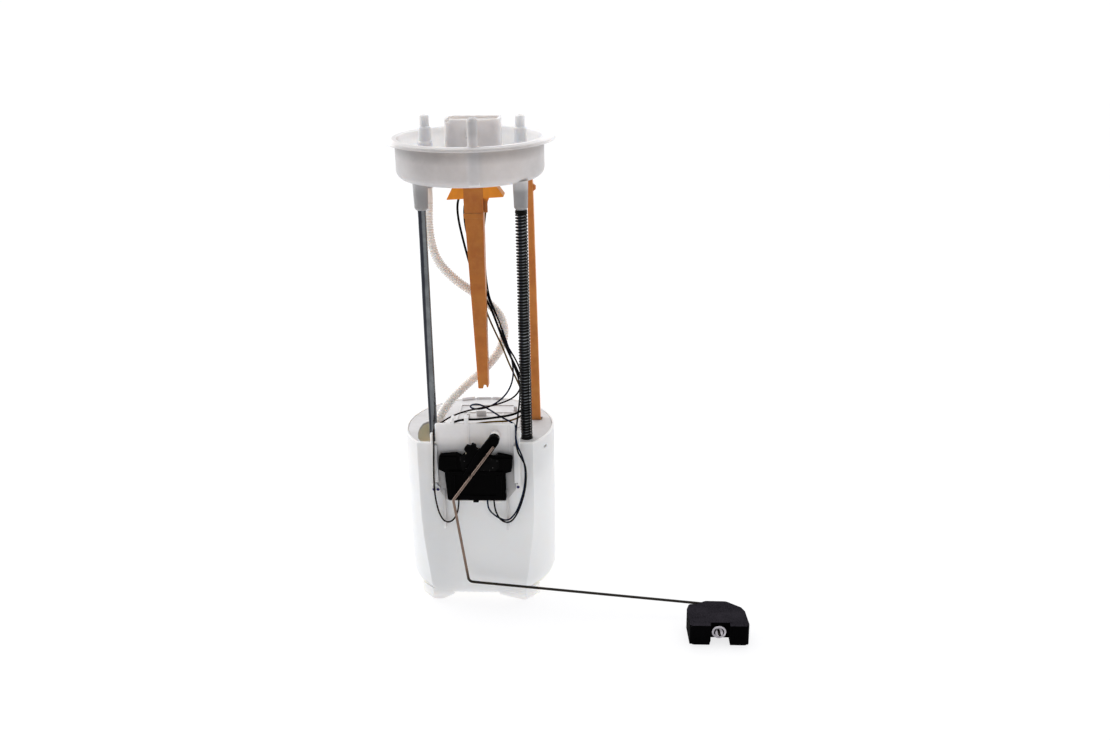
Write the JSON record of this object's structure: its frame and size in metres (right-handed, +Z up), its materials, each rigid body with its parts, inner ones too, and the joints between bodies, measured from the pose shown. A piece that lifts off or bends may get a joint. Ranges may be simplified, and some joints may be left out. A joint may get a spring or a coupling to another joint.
{
  "type": "fuel pump module",
  "caption": "In-tank fuel pump module: round flange with stems and socket on sprung guide rods over a reservoir holding the pump, with a float level sender on its flat front.",
  "frame": {"origin": "middle of the reservoir's base, on the plane of its feet", "axes": "+Z up along the guide rods towards the flange, -Y out of the flat front that carries the level sender, +X the side the float arm reaches to"},
  "size_m": [0.3415, 0.2125, 0.4815],
  "materials": {
    "lavender_plastic": "moulded acetal, satin",
    "reservoir_plastic": "moulded acetal, satin, slightly translucent",
    "lid_plastic": "moulded acetal, satin",
    "panel_plastic": "moulded acetal, satin",
    "amber_plastic": "moulded translucent polymer, satin",
    "black_plastic": "moulded, satin",
    "pin_plastic": "moulded, satin",
    "terminal_metal": "tin-plated",
    "rod_steel": "ground",
    "spring_steel": "bright",
    "black_spring": "phosphated black wire",
    "ceramic_card": "dark glazed card with printed track",
    "arm_wire": "drawn wire, dull",
    "float_foam": "closed-cell foam, grained",
    "nut_steel": "bright plated",
    "pump_steel": "zinc plated",
    "cast_alloy": "cast",
    "magnet": "ferrite",
    "bronze": "sintered",
    "carbon": "pressed carbon",
    "armature_steel": "laminations with windings",
    "copper": "copper",
    "black_rubber": "moulded rubber",
    "holder_plastic": "moulded acetal",
    "strainer_mesh": "woven nylon mesh",
    "hose_nylon": "corrugated nylon, translucent",
    "wire_black": "insulation",
    "wire_olive": "insulation",
    "wire_brown": "insulation",
    "wire_blue": "insulation"
  },
  "bodies": {
    "reservoir": {"panel_pins": "pin_plastic", "coil_spring": "black_spring", "reservoir_can": "reservoir_plastic", "reservoir_lid": "lid_plastic", "sender_bracket": "panel_plastic", "sender_pivot_pin": "black_spring", "sender_housing": "black_plastic", "resistor_card": "ceramic_card", "pump_shell": "pump_steel", "pump_inlet_cover": "cast_alloy", "pump_chamber_plate": "cast_alloy", "pump_outlet_cover": "black_plastic", "pump_magnets": "magnet", "pump_bushings": "bronze", "carbon_brushes": "carbon", "brush_springs": "spring_steel", "check_valve_spring": "spring_steel", "pump_plug": "black_plastic", "pump_terminals": "terminal_metal", "pump_isolator": "black_rubber", "pump_holder": "holder_plastic", "inlet_strainer": "strainer_mesh", "outlet_manifold": "holder_plastic", "pressure_regulator": "pump_steel", "jet_pump": "holder_plastic", "jet_nozzle": "black_plastic", "fuel_hose": "hose_nylon", "wire_ground": "wire_black", "wire_supply": "wire_olive", "wire_sender_a": "wire_brown", "wire_sender_b": "wire_blue", "wire_sender_c": "wire_black"},
    "flange_assembly": {"flange": "lavender_plastic", "electrical_connector": "lavender_plastic", "connector_terminals": "terminal_metal", "wire_bracket": "amber_plastic", "rear_stop_post": "amber_plastic", "guide_rods": "rod_steel", "rod_clips": "spring_steel"},
    "float_arm": {"sender_lever": "black_plastic", "wiper_contacts": "terminal_metal", "float_arm_wire": "arm_wire", "float_push_nut": "nut_steel"},
    "float_block": {"float": "float_foam"},
    "pump_rotor": {"motor_shaft": "rod_steel", "armature": "armature_steel", "commutator": "copper", "impeller": "black_plastic"},
    "outlet_check_valve": {"check_valve": "black_rubber"},
    "reservoir_inlet_valve": {"inlet_valve": "black_rubber"}
  },
  "joints": [
    {"name": "flange_slide", "type": "slide", "parent": "reservoir", "child": "flange_assembly", "axis": [0, 0, 1], "range_m": [-0.044, 0], "stiffness_N_per_m": 500, "springref_m": 0.04, "deforming": ["coil_spring", "fuel_hose", "wire_ground", "wire_supply", "wire_sender_a", "wire_sender_b", "wire_sender_c"]},
    {"name": "float_arm_hinge", "type": "hinge", "parent": "reservoir", "child": "float_arm", "pos_m": [0.0205, -0.0627, 0.18], "axis": [0, -1, 0], "range_deg": [0, 75]},
    {"name": "float_swivel", "type": "hinge", "parent": "float_arm", "child": "float_block", "pos_m": [0.2336, -0.104, 0.0112], "axis": [0, -1, 0], "range_deg": [-75, 0]},
    {"name": "rotor_spin", "type": "hinge", "parent": "reservoir", "child": "pump_rotor", "pos_m": [0.005, 0.01, 0.07], "axis": [0, 0, 1], "continuous": true},
    {"name": "check_valve_lift", "type": "slide", "parent": "reservoir", "child": "outlet_check_valve", "axis": [0, 0, 1], "range_m": [0, 0.0025], "stiffness_N_per_m": 60, "springref_m": -0.004, "deforming": ["check_valve_spring"]},
    {"name": "inlet_valve_lift", "type": "slide", "parent": "reservoir", "child": "reservoir_inlet_valve", "axis": [0, 0, 1], "range_m": [0, 0.0012]}
  ],
  "couplings": [
    {"joint": "float_swivel", "follows": "float_arm_hinge", "ratio": -1}
  ]
}
